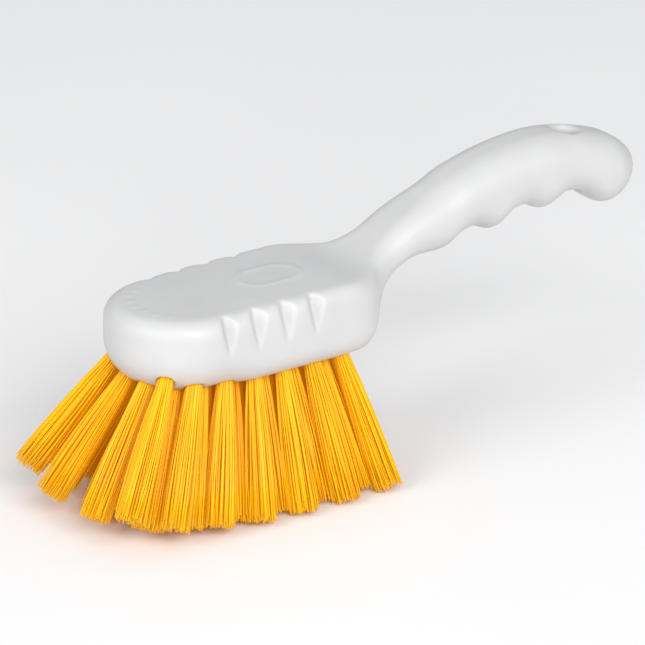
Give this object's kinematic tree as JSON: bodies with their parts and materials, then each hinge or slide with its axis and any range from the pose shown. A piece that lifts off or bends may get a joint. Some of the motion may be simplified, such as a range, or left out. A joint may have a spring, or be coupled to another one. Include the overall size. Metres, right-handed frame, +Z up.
{
  "type": "hand scrub brush",
  "caption": "Short-handled scrub brush: oval white plastic block with an arched finger-grooved grip, hanging hole and flared yellow bristle tufts.",
  "frame": {"origin": "plane of the trimmed bristle tips, under the centre of the bounding box", "axes": "+X from the nose of the block to the end of the grip, +Y across the block, +Z up from the bristle tips to the block"},
  "size_m": [0.2381, 0.0814, 0.1],
  "materials": {
    "handle_plastic": "satin foamed polypropylene",
    "bristle_fibre": "smooth synthetic filament",
    "staple_metal": "bare drawn wire"
  },
  "bodies": {
    "root": {"anchor_staples": "staple_metal", "handle_block": "handle_plastic", "tuft_01": "bristle_fibre", "tuft_02": "bristle_fibre", "tuft_03": "bristle_fibre", "tuft_04": "bristle_fibre", "tuft_05": "bristle_fibre", "tuft_06": "bristle_fibre", "tuft_07": "bristle_fibre", "tuft_08": "bristle_fibre", "tuft_09": "bristle_fibre", "tuft_10": "bristle_fibre", "tuft_11": "bristle_fibre", "tuft_12": "bristle_fibre", "tuft_13": "bristle_fibre", "tuft_14": "bristle_fibre", "tuft_15": "bristle_fibre", "tuft_16": "bristle_fibre", "tuft_17": "bristle_fibre", "tuft_18": "bristle_fibre", "tuft_19": "bristle_fibre", "tuft_20": "bristle_fibre", "tuft_21": "bristle_fibre", "tuft_22": "bristle_fibre", "tuft_23": "bristle_fibre", "tuft_24": "bristle_fibre", "tuft_25": "bristle_fibre", "tuft_26": "bristle_fibre", "tuft_27": "bristle_fibre", "tuft_28": "bristle_fibre", "tuft_29": "bristle_fibre", "tuft_30": "bristle_fibre", "tuft_31": "bristle_fibre", "tuft_32": "bristle_fibre", "tuft_33": "bristle_fibre", "tuft_34": "bristle_fibre", "tuft_35": "bristle_fibre", "tuft_36": "bristle_fibre", "tuft_37": "bristle_fibre", "tuft_38": "bristle_fibre", "tuft_39": "bristle_fibre", "tuft_40": "bristle_fibre", "tuft_41": "bristle_fibre", "tuft_42": "bristle_fibre", "tuft_43": "bristle_fibre", "tuft_44": "bristle_fibre", "tuft_45": "bristle_fibre", "tuft_46": "bristle_fibre"}
  },
  "joints": []
}
